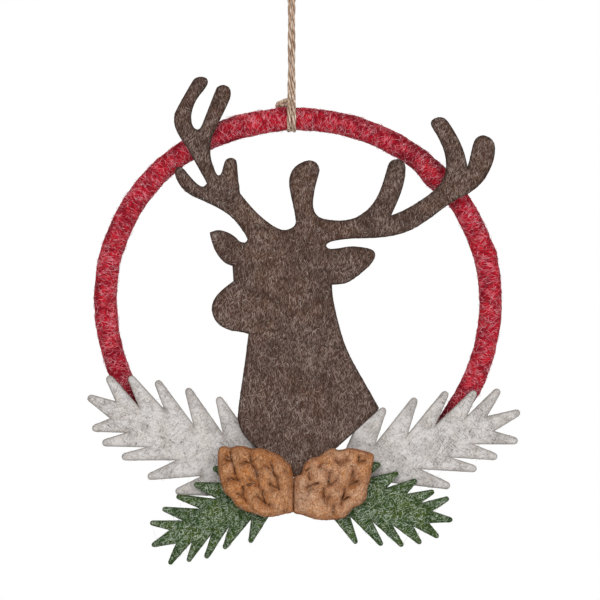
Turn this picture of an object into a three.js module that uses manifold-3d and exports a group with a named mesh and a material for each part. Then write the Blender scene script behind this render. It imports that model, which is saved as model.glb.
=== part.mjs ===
// Hanging felt ornament: a stag's head in front of a wrapped hoop, with two sprigs and two
// pine cones at its foot, on a doubled twine hanger.
// Millimetres, +Z up, the front faces -Y. The origin is the hang point, inside the top of the
// twine's eye. Flat pieces are drawn in X and Z from the hoop's centre.
import * as THREE from "three";
import { mergeVertices } from "three/addons/utils/BufferGeometryUtils.js";
import Module from "manifold-3d";

const wasm = await Module();
wasm.setup();

// Hoop: a bent wire in a felt wrap, a little out of round
const hoopRadius = 76.1;
const hoopOval = 1.3; // wider across, flatter at the top
const hoopLift = 0.4; // rounder above than below
const hoopShoulder = 0.45; // fuller at the upper sides
const hoopSide = 0.4; // fuller on the right
const hoopSkew = 0.35; // fuller at the lower right and the upper left
const hoopThickness = 9;
const coreDiameter = 3;
const wrapClearance = 0.3; // wire to felt
const seamWidth = 0.6; // where the felt's long edges meet, at the back

// Felt cut-outs
const stagThickness = 3;
const whiteThickness = 2.6;
const greenThickness = 2.6;
const whiteTip = 1.5; // radius of a tine's tip
const greenTip = 1;

// Pine cones
const coneEdge = 3.2; // thickness at the rim
const coneCrown = 7; // thickness in the middle
const scaleWidth = 7.8;
const scaleLength = 9.5;
const scaleRelief = 0.7;
const scaleSlant = 12; // degrees, the way the rows of scales lean

// Twine hanger
const twineDiameter = 1.7;
const twineGap = 0.45; // between neighbouring strands
const hitchClearance = 0.3; // twine to hoop
const faceGap = 0.3; // between the ends of two lengths of twine
const cordDrop = 62.7; // hang point to the hoop's centreline
const hitchRise = 12; // the hoop's centreline to where the strands part above it
const eyeDrop = 15; // hang point to the fork under the eye
const eyeWidth = 7.6;
const strandSwing = 40; // degrees, how far the two strands sway round each other
const hitchOffset = 2.2; // the hoop's centre, to the right of the twine
const bightWidth = 5; // the bend behind the hoop
const knotLength = 8.4;
const knotHeight = 3.9;
const knotOffset = 2; // to the left of the twine
const knotTurn = 20; // degrees behind the hoop's top

// Glue
const glueLine = 0.6; // between two pieces that are glued together
const glueClearance = 0.1;
const glueDiameter = 7;

const degrees = Math.PI / 180;
const twineRadius = twineDiameter / 2;
const strandOffset = (twineDiameter + twineGap) / 2;
const hitchDrop = cordDrop - hitchRise;

// The hoop's centreline radius at an angle from +X towards +Z.
function hoopLine(angle) {
  return (
    hoopRadius +
    hoopLift * Math.sin(angle) +
    hoopOval * Math.cos(2 * angle) +
    hoopShoulder * Math.sin(3 * angle) +
    hoopSide * Math.cos(angle) -
    hoopSkew * Math.sin(2 * angle)
  );
}

const hitchAngle = Math.PI / 2 + Math.asin(hitchOffset / hoopRadius);
const hoopDrop = cordDrop + hoopLine(hitchAngle) * Math.sin(hitchAngle);

// Outlines

// The outlines are drawn for a hoop of 76.1 mm, and they follow the hoop's size.
const patternScale = hoopRadius / 76.1;
const drawn = ([x, z]) => new THREE.Vector2(x, z).multiplyScalar(patternScale);

// Smooth runs of points that meet at corners. Each run starts where the last one ended.
function curvedOutline(start, runs) {
  const path = new THREE.Path();
  path.moveTo(...drawn(start));
  for (const run of runs) {
    path.splineThru(run.map(drawn));
  }
  return path.getPoints(2).slice(0, -1);
}

// The arc of a tine's tip, with its sides running straight to the valleys on either hand.
function roundedTip(before, tip, after, radius) {
  const middle = before.clone().lerp(after, 0.5);
  const reach = tip.clone().sub(middle).normalize();
  const centre = tip.clone().addScaledVector(reach, -radius);
  const tangent = (valley) => {
    const offset = valley.clone().sub(centre);
    const away = Math.atan2(reach.cross(offset), reach.dot(offset));
    return away - Math.sign(away) * Math.acos(radius / offset.length());
  };
  const first = tangent(before);
  const last = tangent(after);
  const arc = [];
  for (let step = 0; step <= 4; step += 1) {
    const turn = reach.angle() + first + ((last - first) * step) / 4;
    arc.push(new THREE.Vector2(Math.cos(turn), Math.sin(turn)).multiplyScalar(radius).add(centre));
  }
  return arc;
}

// A sprig: each tine is a valley and the tip after it, and the foot is the covered end.
function sprigOutline(tines, foot, tipRadius) {
  const valleys = tines.map(drawn);
  const tips = tines.map(([, , x, z]) => drawn([x, z]));
  const corners = foot.map(drawn);
  const outline = [];
  tips.forEach((tip, i) => {
    const after = valleys[i + 1] ?? corners[0];
    outline.push(valleys[i], ...roundedTip(valleys[i], tip, after, tipRadius));
  });
  return [...outline, ...corners];
}

const stagOutline = curvedOutline([-20.8, 25], [
  // Left antler: lower edge, low tine, outer edge, the two top tines, inner tine
  [[-19.8, 26.4], [-21.9, 30], [-26, 35], [-31.2, 38.6], [-38, 41.9], [-42.4, 43.9], [-46.2, 47],
    [-48.5, 51.2], [-48.8, 53.8], [-47.4, 55.3], [-45.6, 54.7], [-43.4, 52.2], [-40.2, 48.7],
    [-37.6, 47.3], [-36, 48.7]],
  [[-41.2, 58], [-44, 63.1], [-46.9, 67.2], [-48.9, 71.6], [-49.1, 75.6], [-47.7, 79.2],
    [-42.4, 88.6], [-40.8, 90.7], [-38.4, 91.4], [-36.2, 90.7], [-35.7, 89], [-37, 86.5],
    [-39.9, 82.8], [-41.6, 79.2], [-42.3, 76], [-42.2, 73.2], [-41.2, 71], [-39.8, 70.2],
    [-38.5, 71.1], [-37, 74.6], [-32.8, 85.4], [-31.6, 87.4], [-29.2, 88.1], [-27, 86.8],
    [-26.5, 84.4], [-27.6, 80.8], [-32.3, 71.1], [-34, 67], [-34.7, 63.2], [-34.5, 59.2],
    [-33.6, 55.8], [-32.2, 52.5], [-31.2, 51.9], [-30.2, 52.8], [-29.2, 56.4], [-28.3, 58.2],
    [-26.4, 58.9], [-24.4, 58], [-23.9, 55.2], [-23.4, 49.6], [-22.8, 44.8]],
  // Crown of the head and the middle prong
  [[-20, 41.3], [-16.6, 37.5], [-13.2, 34.4], [-9.4, 31.6], [-5.6, 30], [-2.6, 30.6],
    [-0.7, 32.2], [-0.6, 34.6], [-1.4, 39.2], [-2.5, 44], [-3.2, 49], [-2.3, 53.2], [0.2, 56.1],
    [4.4, 57.9], [7.6, 57], [9, 54.2], [8.1, 50.2], [6.9, 45.4], [6.4, 40.6], [7, 37.4], [9, 35.1],
    [12.8, 34.1], [17.6, 33.8], [22.4, 34.6], [25.9, 36.4], [29.2, 39.2], [32.3, 43.8], [34.6, 49.7],
    [36.3, 55.5], [37.4, 57.5], [39.6, 58.4], [42, 57.9], [43.4, 55.4], [43, 50.2], [41.8, 45.6],
    [40.1, 41.2], [37.7, 35.9]],
  // Right antler: upper edge, its two end tines, lower edge
  [[42.4, 37.8], [48, 41], [53.4, 44.7], [56.8, 47.9], [59.2, 52.4], [59.6, 57.6], [58.4, 63],
    [55.8, 68.4], [53.7, 72], [54.1, 74.1], [56.8, 75.2], [59.6, 74.3], [62.4, 70.3], [64.9, 65.8],
    [66.9, 60.8], [68.2, 55.3]],
  [[69.3, 59.2], [70.4, 64.2], [71.7, 66.8], [74.2, 67.9], [77.3, 66.8], [79.1, 64], [78.9, 59.2],
    [77.4, 54.7], [74.4, 49.5], [69.6, 45.2], [64.4, 42.5], [58.8, 38.9], [52.4, 34.1], [45.6, 30],
    [38.8, 27.8], [30.8, 26.8], [22.4, 26.6], [16.8, 26], [13.2, 25.2], [11.7, 23.9], [12.7, 22.6],
    [15.8, 22.6], [21.4, 23.5], [27, 23], [30.2, 22], [31.3, 20.2], [30.4, 17.5], [27.5, 14.3],
    [23, 10.7], [19.2, 8.6], [14, 8.1]],
  // Back of the neck, breast and throat
  [[14.3, 3.6], [15.3, -1.8], [16.8, -8], [18.8, -14.8], [22, -22], [26.4, -29.8], [32.8, -41.1]],
  [[27.6, -46.5], [15.6, -57.1], [8.8, -63.2], [1.2, -68.8], [-4.4, -66.8], [-11.6, -61.6],
    [-16.7, -56.6], [-21.9, -50.8], [-23.8, -45.2]],
  [[-22.8, -36.7], [-20.7, -22], [-19.4, -11.6]],
  // Jaw, muzzle, brow and left ear
  [[-22, -10.8], [-26.6, -10.1], [-30.1, -8.5], [-32.7, -6], [-34, -2.4], [-33.7, 0.8],
    [-32.1, 3.8], [-29.2, 6.7], [-25.4, 9.6]],
  [[-25.6, 12.8], [-25.8, 15.6]],
  [[-28.7, 16.8], [-31.6, 19.9], [-33.7, 24.2], [-34.9, 29]],
  [[-31.6, 30], [-28, 29.2], [-25, 27.5], [-22.8, 25.4], [-20.8, 25]],
]);

const whiteLeftOutline = sprigOutline(
  [
    [-22.5, -47.2, -31.6, -36.7], [-29.7, -51.3, -44, -33.2], [-41.6, -47.6, -56.2, -30.2],
    [-53.2, -41.6, -67, -28.4], [-63.4, -40.4, -75.8, -28.4], [-72.6, -38.5, -83.7, -36.6],
    [-74.9, -45.3, -82, -49.4], [-68.7, -51.1, -78, -55.2], [-60.5, -56.9, -70.2, -60.8],
    [-48.5, -62.1, -59.8, -68.8], [-38.1, -68.4, -48.7, -74.7],
  ],
  [[-30, -76.4], [-18.8, -79.2], [-8, -74], [-8, -54]],
  whiteTip,
);

const whiteRightOutline = sprigOutline(
  [
    [22.9, -49.6, 35, -41], [31.5, -55.3, 47.5, -37.1], [44.4, -51.5, 60, -34.6],
    [55.4, -48, 71.5, -34.4], [68, -44.4, 80.9, -33.7], [76.1, -44.4, 89.2, -42.7],
    [79, -50.4, 88.4, -54.4], [70.7, -55.7, 80.2, -60.8], [61.8, -61, 71.9, -65.6],
    [49.6, -65.7, 61.3, -72.5],
  ],
  [[36.5, -71], [27.2, -77.2], [14, -78], [2, -72], [1, -60], [19.5, -57.6]],
  whiteTip,
);

const greenLeftOutline = sprigOutline(
  [
    [-19, -64.2, -33.6, -65], [-27.4, -70.9, -41.2, -71.4], [-32, -77.4, -48.2, -76.3],
    [-38.7, -81.3, -53.8, -81.3], [-45.6, -86, -58.7, -86.9], [-50.8, -89.8, -58, -96],
    [-48.4, -95.2, -51, -103.4], [-42, -94.6, -43.6, -102.4], [-34.4, -91.8, -36.4, -101.1],
    [-27.3, -88.7, -29.2, -97.3], [-18.4, -85.7, -18.8, -94.9],
  ],
  [[-10.8, -83.6], [-10, -78], [-14, -71.6]],
  greenTip,
);

const greenRightOutline = sprigOutline(
  [
    [19, -62.4, 33.4, -63.5], [27.5, -69.2, 40.4, -67], [35.8, -72.9, 47.8, -69.8],
    [43.9, -75.3, 54.8, -74.3], [49.4, -79, 60.7, -77], [54.1, -82.2, 62.1, -85.8],
    [52.8, -87, 56.5, -92.7], [46.6, -88.4, 49.5, -95.2], [38.2, -87.8, 42.2, -96.3],
    [30.3, -86.6, 34, -95.9], [21.3, -84.5, 23.8, -95.2],
  ],
  [[13.6, -84], [10, -78], [13.2, -71.6]],
  greenTip,
);

const coneLeftOutline = curvedOutline([-26.1, -56.8], [
  [[-24.1, -56], [-21.5, -56], [-18.9, -56.8], [-17.6, -57.2]],
  [[-16.3, -56.9], [-13.7, -56.9], [-9.8, -58.8], [-6.4, -61.6], [-3.2, -64.5], [-1.8, -67.8],
    [-1.6, -72], [-1.6, -77], [-1.8, -82.3]],
  [[-7.2, -83.7], [-10, -84.3], [-13.3, -84.1], [-17.8, -82.5], [-20.6, -81.9], [-24.6, -79.3],
    [-25.6, -77.5], [-28, -75.3], [-29.4, -73.3], [-31.2, -66.9], [-31.5, -62.8], [-31.4, -58.8],
    [-30.8, -56.8], [-28.9, -56], [-26.1, -56.8]],
]);

const coneRightOutline = curvedOutline([16.7, -57.9], [
  [[18.8, -57.2], [21, -56.8], [24.1, -57.2], [27.5, -58.1], [30, -59], [30.8, -60.2],
    [29.8, -64.8], [29.5, -67.9], [28.1, -73.1], [27.9, -75.6], [26.6, -78.2], [25, -79.6],
    [22.1, -80.8], [19.6, -84.1], [16.7, -85.1], [12.9, -85.5], [8.4, -85.4], [3.7, -84.1],
    [-1.3, -82.5]],
  [[-1.2, -78.4], [-1.1, -74.2], [-0.6, -69.6], [1.6, -67], [2.6, -64.1], [4, -62], [6.2, -60.6],
    [8.6, -60.1], [11.1, -58.2], [13.4, -56.9], [15.4, -57.2], [16.7, -57.9]],
]);

// How far a point lies inside an outline, below zero outside it.
function depthInside(outline, x, z) {
  const point = new THREE.Vector2(x, z);
  let inside = false;
  let nearest = Infinity;
  outline.forEach((a, i) => {
    const b = outline[(i + 1) % outline.length];
    if (a.y > z !== b.y > z && x < a.x + ((b.x - a.x) * (z - a.y)) / (b.y - a.y)) {
      inside = !inside;
    }
    const side = b.clone().sub(a);
    const along = point.clone().sub(a).dot(side) / side.lengthSq();
    const foot = a.clone().addScaledVector(side, THREE.MathUtils.clamp(along, 0, 1));
    nearest = Math.min(nearest, foot.distanceTo(point));
  });
  return inside ? nearest : -nearest;
}

// Every whole millimetre that lies in both outlines, with its depth in the shared area.
function sharedSpots(first, second) {
  const spots = [];
  const box = new THREE.Box2().setFromPoints(first).intersect(new THREE.Box2().setFromPoints(second));
  for (let x = Math.ceil(box.min.x); x <= box.max.x; x += 1) {
    for (let z = Math.ceil(box.min.y); z <= box.max.y; z += 1) {
      const depth = Math.min(depthInside(first, x, z), depthInside(second, x, z));
      if (depth > 0) {
        spots.push({ x, z, depth });
      }
    }
  }
  return spots;
}

// Every degree of the hoop that an outline covers.
function hoopSpots(outline) {
  const spots = [];
  for (let turn = 0; turn < 360; turn += 1) {
    const x = hoopLine(turn * degrees) * Math.cos(turn * degrees);
    const z = hoopLine(turn * degrees) * Math.sin(turn * degrees);
    const depth = depthInside(outline, x, z);
    if (depth > 0) {
      spots.push({ x, z, depth });
    }
  }
  return spots;
}

const deepest = (spots) => spots.reduce((best, spot) => (spot.depth > best.depth ? spot : best));
const highest = (spots) => Math.max(...spots.map((spot) => spot.z));

// Layers, from the hoop to the front
const whiteBack = -(hoopThickness / 2 + glueLine);
const whiteFront = whiteBack - whiteThickness;
const greenBack = whiteFront - glueLine;
const greenFront = greenBack - greenThickness;

// The stag leans: its antlers lie on the hoop and its breast lies on the white sprigs.
const antlerTop = highest(hoopSpots(stagOutline));
const breastTop = Math.max(
  highest(sharedSpots(stagOutline, whiteLeftOutline)),
  highest(sharedSpots(stagOutline, whiteRightOutline)),
);
const stagSlope = (whiteThickness + glueLine) / (antlerTop - breastTop);
const stagLean = Math.atan(stagSlope);
const stagBack = (z) => whiteBack - (antlerTop - z) * stagSlope;
const stagFront = (z) => stagBack(z) - stagThickness / Math.cos(stagLean);
const stagFoot = Math.min(...stagOutline.map((point) => point.y));
const coneBack = stagFront(stagFoot) - glueLine;

// Solids

// A flat cut-out with its back at the given Y, thickened towards the front.
function cutOut(outline, thickness, back) {
  const shape = new THREE.Shape(outline);
  const geometry = new THREE.ExtrudeGeometry(shape, { depth: thickness, bevelEnabled: false });
  return geometry.rotateX(Math.PI / 2).translate(0, back, 0);
}

// A closed skin over rows of points, each row a ring of the same length.
function skin(rows, capped) {
  const wide = rows[0].length;
  const points = rows.flat();
  const index = [];
  const last = capped ? rows.length - 1 : rows.length;
  for (let i = 0; i < last; i += 1) {
    for (let j = 0; j < wide; j += 1) {
      const here = i * wide;
      const next = ((i + 1) % rows.length) * wide;
      const k = (j + 1) % wide;
      index.push(here + j, here + k, next + j, here + k, next + k, next + j);
    }
  }
  if (capped) {
    const ends = [rows[0], rows[rows.length - 1]].map((row) =>
      row.reduce((sum, point) => sum.add(point), new THREE.Vector3()).divideScalar(wide),
    );
    const top = last * wide;
    for (let j = 0; j < wide; j += 1) {
      const k = (j + 1) % wide;
      index.push(points.length, k, j, points.length + 1, top + j, top + k);
    }
    points.push(...ends);
  }
  const geometry = new THREE.BufferGeometry().setFromPoints(points);
  geometry.setIndex(index);
  geometry.computeVertexNormals();
  return geometry;
}

// A section, in radial offset and Y, carried once round the hoop.
function roundHoop(section) {
  const rows = [];
  for (let step = 0; step < 64; step += 1) {
    const turn = (step / 64) * 2 * Math.PI;
    rows.push(
      section.map(({ x, y }) => {
        const radius = hoopLine(turn) + x;
        return new THREE.Vector3(radius * Math.cos(turn), y, radius * Math.sin(turn));
      }),
    );
  }
  return skin(rows, false);
}

// Points on a circle round the hoop's centreline, from one side of the seam to the other.
function sectionArc(radius, halfGap, sides) {
  const gap = Math.asin(halfGap / radius);
  const arc = [];
  for (let step = 0; step <= sides; step += 1) {
    const turn = Math.PI / 2 + gap + ((2 * Math.PI - 2 * gap) * step) / sides;
    arc.push(new THREE.Vector2(radius * Math.cos(turn), radius * Math.sin(turn)));
  }
  return arc;
}

// A round section with no gap.
const fullSection = (radius, sides) => sectionArc(radius, 0, sides).slice(0, -1);

// A pine cone: a flat back, a drawn-in rim and a crown of slanting scales.
function pineCone(outline, side) {
  const box = new THREE.Box2().setFromPoints(outline);
  const centre = box.getCenter(new THREE.Vector2());
  const slant = side * scaleSlant * degrees;
  const scales = (x, z) => {
    const across = (x * Math.cos(slant) - z * Math.sin(slant)) / scaleWidth;
    const along = (x * Math.sin(slant) + z * Math.cos(slant)) / scaleLength;
    const shift = Math.abs(Math.floor(across) % 2) / 2;
    return scaleRelief * Math.abs(Math.sin(Math.PI * across) * Math.sin(Math.PI * (along + shift)));
  };
  const rim = outline.toReversed();
  const ring = (reach, height, relief) =>
    rim.map((point) => {
      const flat = point.clone().sub(centre).multiplyScalar(reach);
      const bump = relief * scales(flat.x, flat.y);
      return new THREE.Vector3(flat.x + centre.x, coneBack - height - bump, flat.y + centre.y);
    });
  const rows = [ring(0.93, 0, 0), ring(1, coneEdge * 0.45, 0)];
  for (let step = 0; step < 10; step += 1) {
    const reach = 0.97 * (1 - step / 10);
    const crown = Math.sqrt(1 - (reach / 0.97) ** 2.6);
    rows.push(ring(reach, coneEdge + (coneCrown - coneEdge - scaleRelief) * crown, 1));
  }
  return skin(rows, true);
}

// A length of twine along a smooth route.
function twine(route, steps) {
  const section = new THREE.Shape();
  section.absarc(0, 0, twineRadius, 0, 2 * Math.PI);
  const path = new THREE.CatmullRomCurve3(route, false, "centripetal");
  return new THREE.ExtrudeGeometry(section, { steps, extrudePath: path, curveSegments: 4 });
}

// The eye: up from the fork on one side, over the hang point and down the other.
function eyeRoute() {
  const reach = eyeWidth / 2;
  const top = twineRadius - reach;
  const half = [
    [strandOffset, -eyeDrop],
    [strandOffset, -eyeDrop + twineDiameter],
    [strandOffset + (reach - strandOffset) * 0.35, -eyeDrop * 0.68],
    [strandOffset + (reach - strandOffset) * 0.85, -eyeDrop * 0.45],
    [reach, top],
    [reach * Math.cos(Math.PI / 4), top + reach * Math.sin(Math.PI / 4)],
  ];
  const right = half.map(([x, z]) => new THREE.Vector3(x, 0, z));
  const left = half.map(([x, z]) => new THREE.Vector3(-x, 0, z));
  return [...left, new THREE.Vector3(0, 0, twineRadius), ...right.reverse()];
}

// One strand between the eye and the hitch: the pair sways round itself and back.
function strandRoute(side) {
  const start = -(eyeDrop + faceGap);
  const length = hitchDrop - eyeDrop - 2 * faceGap;
  const route = [];
  for (let step = 0; step <= 24; step += 1) {
    const along = step / 24;
    const turn = strandSwing * degrees * Math.sin(2 * Math.PI * along);
    route.push(
      new THREE.Vector3(
        side * strandOffset * Math.cos(turn),
        side * strandOffset * Math.sin(turn),
        start - along * length,
      ),
    );
  }
  return route;
}

// The hitch: down the front of the hoop, under it, a bend at the back, and the same way back.
function hitchRoute() {
  const radius = hoopThickness / 2 + hitchClearance + twineRadius;
  const leave = Math.acos(radius / (hitchRise - twineDiameter));
  const bend = bightWidth / 2;
  const bendTurn = 2 * Math.PI - 92 * degrees;
  const onHoop = (x, turn) =>
    new THREE.Vector3(x, -radius * Math.sin(turn), radius * Math.cos(turn) - cordDrop);
  const half = [
    new THREE.Vector3(strandOffset, 0, -hitchDrop),
    new THREE.Vector3(strandOffset, 0, -hitchDrop - twineDiameter),
  ];
  for (let step = 0; step <= 12; step += 1) {
    const turn = leave + ((bendTurn - leave) * step) / 12;
    const spread = THREE.MathUtils.smoothstep(step / 12, 0.55, 1);
    half.push(onHoop(strandOffset + (bend - strandOffset) * spread, turn));
  }
  const left = half.map(({ x, y, z }) => new THREE.Vector3(-x, y, z));
  const bight = [-45, 0, 45].map((turn) =>
    onHoop(
      bend * Math.sin(turn * degrees),
      bendTurn + (bend * Math.cos(turn * degrees)) / radius,
    ),
  );
  return [...left, ...bight, ...half.reverse()];
}

// The smallest gap between two stretches of one length of twine.
function leastGap(route) {
  const points = new THREE.CatmullRomCurve3(route, false, "centripetal").getSpacedPoints(400);
  const length = new THREE.CatmullRomCurve3(route, false, "centripetal").getLength();
  const apart = Math.ceil((3 * twineDiameter * 400) / length);
  let least = Infinity;
  points.forEach((point, i) => {
    for (let j = i + apart; j < points.length; j += 1) {
      least = Math.min(least, point.distanceTo(points[j]));
    }
  });
  return least - twineDiameter;
}

// The knot lies behind the hoop's top.
function knotSolid() {
  const away = hoopThickness / 2 + hitchClearance + knotHeight / 2;
  return new THREE.SphereGeometry(knotHeight / 2, 16, 10)
    .scale(knotLength / knotHeight, 1, 1)
    .translate(
      -knotOffset,
      away * Math.sin(knotTurn * degrees),
      away * Math.cos(knotTurn * degrees) - cordDrop,
    );
}

// A round pad of glue between two faces, no wider than the area that they share.
function gluePad(spot, back, front, slope) {
  const radius = Math.min(glueDiameter / 2, spot.depth);
  const thickness = back - front - 2 * glueClearance - 2 * radius * slope;
  const pad = new THREE.CylinderGeometry(radius, radius, thickness, 20);
  return pad.translate(spot.x, (back + front) / 2, spot.z);
}

function toSolid(geometry) {
  const plain = new THREE.BufferGeometry().setAttribute("position", geometry.getAttribute("position"));
  plain.setIndex(geometry.getIndex());
  const merged = mergeVertices(plain, 1e-4);
  const mesh = new wasm.Mesh({
    numProp: 3,
    vertProperties: new Float32Array(merged.getAttribute("position").array),
    triVerts: new Uint32Array(merged.getIndex().array),
  });
  return new wasm.Manifold(mesh);
}

function toGeometry(solid) {
  const mesh = solid.getMesh();
  const geometry = new THREE.BufferGeometry();
  geometry.setAttribute("position", new THREE.BufferAttribute(mesh.vertProperties, 3));
  geometry.setIndex(new THREE.BufferAttribute(mesh.triVerts, 1));
  geometry.computeVertexNormals();
  return geometry;
}

const hoopRoom = toSolid(roundHoop(fullSection(hoopThickness / 2 + glueClearance, 16)));

// A bead of glue that fills in between a flat back and the hoop's round front.
function glueSaddle(spot, back) {
  const radius = Math.min(glueDiameter / 2, spot.depth);
  const front = back + glueClearance + radius * stagSlope;
  const depth = hoopThickness / 4;
  const bead = new THREE.CylinderGeometry(radius, radius, depth, 20);
  bead.translate(spot.x, front + depth / 2, spot.z);
  return toGeometry(toSolid(bead).subtract(hoopRoom));
}

const wrapSection = [
  ...sectionArc(hoopThickness / 2, seamWidth / 2, 16),
  ...sectionArc(coreDiameter / 2 + wrapClearance, seamWidth / 2, 8).reverse(),
];

// The object
const ornament = new THREE.Group();
ornament.name = "felt_stag_ornament";

function add(name, geometry, colour, roughness, metalness = 0) {
  const material = new THREE.MeshStandardMaterial({ color: colour, roughness, metalness });
  const mesh = new THREE.Mesh(geometry, material);
  mesh.name = name;
  ornament.add(mesh);
}

// A piece drawn from the hoop's centre.
function addOnHoop(name, geometry, colour, roughness, metalness) {
  add(name, geometry.translate(hitchOffset, 0, -hoopDrop), colour, roughness, metalness);
}

const stagBrown = 0x62504a;
const sprigWhite = 0xc5c0bc;
const sprigGreen = 0x58644a;
const coneBrown = 0x986b4d;
const hoopRed = 0xa83944;
const twineTan = 0xad9280;
const glueClear = 0xe6dfcf;

addOnHoop("hoop_core", roundHoop(fullSection(coreDiameter / 2, 8)), 0x8d8f92, 0.4, 1);
addOnHoop("hoop_wrap", roundHoop(wrapSection), hoopRed, 0.95);

const leaned = cutOut(stagOutline, stagThickness / Math.cos(stagLean), 0);
leaned.translate(0, 0, -antlerTop).applyMatrix4(
  new THREE.Matrix4().makeShear(0, 0, 0, 0, 0, stagSlope),
);
addOnHoop("stag_head", leaned.translate(0, whiteBack, antlerTop), stagBrown, 0.95);

const sprigs = [
  ["left", whiteLeftOutline, greenLeftOutline, coneLeftOutline, 1],
  ["right", whiteRightOutline, greenRightOutline, coneRightOutline, -1],
];
for (const [side, white, green, cone, lean] of sprigs) {
  addOnHoop(`white_sprig_${side}`, cutOut(white, whiteThickness, whiteBack), sprigWhite, 0.95);
  addOnHoop(`green_sprig_${side}`, cutOut(green, greenThickness, greenBack), sprigGreen, 0.95);
  addOnHoop(`pine_cone_${side}`, pineCone(cone, lean), coneBrown, 0.95);

  const antler = deepest(hoopSpots(stagOutline).filter(({ x }) => Math.sign(x) === -lean));
  const covered = hoopSpots(white);
  const outer = deepest(covered.slice(0, Math.floor(covered.length / 2)));
  const inner = deepest(covered.slice(Math.floor(covered.length / 2)));
  addOnHoop(`glue_antler_${side}`, glueSaddle(antler, stagBack(antler.z)), glueClear, 0.3);
  addOnHoop(`glue_sprig_${side}_1`, glueSaddle(outer, whiteBack), glueClear, 0.3);
  addOnHoop(`glue_sprig_${side}_2`, glueSaddle(inner, whiteBack), glueClear, 0.3);

  const breast = deepest(sharedSpots(stagOutline, white));
  const layer = deepest(sharedSpots(white, green));
  const coneOnStag = deepest(sharedSpots(cone, stagOutline));
  const coneOnGreen = deepest(sharedSpots(cone, green));
  const pads = [
    ["breast", breast, whiteFront, stagBack(breast.z), stagSlope],
    ["green", layer, whiteFront, greenBack, 0],
    ["cone_top", coneOnStag, stagFront(coneOnStag.z), coneBack, stagSlope],
    ["cone_foot", coneOnGreen, greenFront, coneBack, 0],
  ];
  for (const [place, spot, back, front, slope] of pads) {
    addOnHoop(`glue_${place}_${side}`, gluePad(spot, back, front, slope), glueClear, 0.3);
  }
}

add("hanging_eye", twine(eyeRoute(), 28), twineTan, 0.9);
add("cord_strand_left", twine(strandRoute(-1), 26), twineTan, 0.9);
add("cord_strand_right", twine(strandRoute(1), 26), twineTan, 0.9);
add("hoop_hitch", twine(hitchRoute(), 64), twineTan, 0.9);
add("hitch_knot", knotSolid(), twineTan, 0.9);

console.log(`least gap of the hitch to itself: ${leastGap(hitchRoute()).toFixed(2)} mm`);

export default ornament;
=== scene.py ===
import math
import random

import bmesh
import bpy
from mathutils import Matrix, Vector, kdtree, noise
from mathutils.bvhtree import BVHTree


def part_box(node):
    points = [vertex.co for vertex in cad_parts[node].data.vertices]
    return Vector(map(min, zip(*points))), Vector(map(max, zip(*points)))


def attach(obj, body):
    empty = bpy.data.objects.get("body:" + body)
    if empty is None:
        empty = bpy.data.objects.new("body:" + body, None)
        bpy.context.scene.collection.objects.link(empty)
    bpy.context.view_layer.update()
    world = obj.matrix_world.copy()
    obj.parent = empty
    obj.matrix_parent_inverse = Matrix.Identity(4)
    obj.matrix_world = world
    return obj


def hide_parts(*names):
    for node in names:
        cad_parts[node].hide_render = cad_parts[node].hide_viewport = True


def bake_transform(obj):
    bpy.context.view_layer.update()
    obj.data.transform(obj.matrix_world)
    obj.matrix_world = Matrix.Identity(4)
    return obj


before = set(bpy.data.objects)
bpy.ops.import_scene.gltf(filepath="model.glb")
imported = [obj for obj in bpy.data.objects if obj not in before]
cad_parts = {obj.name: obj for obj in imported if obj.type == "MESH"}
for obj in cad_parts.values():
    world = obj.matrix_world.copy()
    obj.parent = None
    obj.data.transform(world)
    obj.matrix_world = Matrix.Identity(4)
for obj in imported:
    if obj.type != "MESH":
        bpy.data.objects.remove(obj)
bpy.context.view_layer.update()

mm = 0.001
scene = bpy.context.scene
scene.view_settings.view_transform = "Standard"
hoopCentre = Vector((2.2, 0, -137.42)) * mm  # places in mm on the front are measured from here


# Helpers

def linear(hexColour):
    channels = [int(hexColour[i:i + 2], 16) / 255 for i in (1, 3, 5)]
    return [c / 12.92 if c <= 0.04045 else ((c + 0.055) / 1.055) ** 2.4 for c in channels] + [1]


def addNode(tree, kind, inputs=None, **settings):
    node = tree.nodes.new(kind)
    for key, value in settings.items():
        setattr(node, key, value)
    for key, value in (inputs or {}).items():
        if isinstance(value, bpy.types.NodeSocket):
            tree.links.new(value, node.inputs[key])
        else:
            node.inputs[key].default_value = value
    return node


def emptyMaterial(name):
    material = bpy.data.materials.new(name)
    material.use_nodes = True
    material.node_tree.nodes.clear()
    return material, material.node_tree


def newObject(name, mesh, material):
    mesh.materials.clear()
    mesh.materials.append(material)
    mesh.shade_smooth()
    piece = bpy.data.objects.new(name, mesh)
    scene.collection.objects.link(piece)
    return piece


def meshFrom(bm, name):
    mesh = bpy.data.meshes.new(name)
    bm.to_mesh(mesh)
    bm.free()
    return mesh


def nodeCopy(node):
    bm = bmesh.new()
    bm.from_mesh(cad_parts[node].data)
    bmesh.ops.remove_doubles(bm, verts=bm.verts, dist=1e-6)
    return bm


# The mesh that an object shows with its modifiers or its bevel, as a mesh of its own
def settled(piece):
    piece.update_tag()
    graph = bpy.context.evaluated_depsgraph_get()
    mesh = bpy.data.meshes.new_from_object(piece.evaluated_get(graph))
    bpy.data.objects.remove(piece)
    return mesh


def noiseAt(point, size, seed):
    return noise.noise(point / (size * mm) + Vector((seed, 0, 0)))


def pointTree(points):
    tree = kdtree.KDTree(len(points))
    for i, point in enumerate(points):
        tree.insert(point, i)
    tree.balance()
    return tree


# Camera: level with the hoop's middle, straight on, from far enough away to keep it flat
cameraLook = {"lens": 200, "sensor": 36, "frame": 240, "middle": (3.4, -7, -135.4)}

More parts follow.
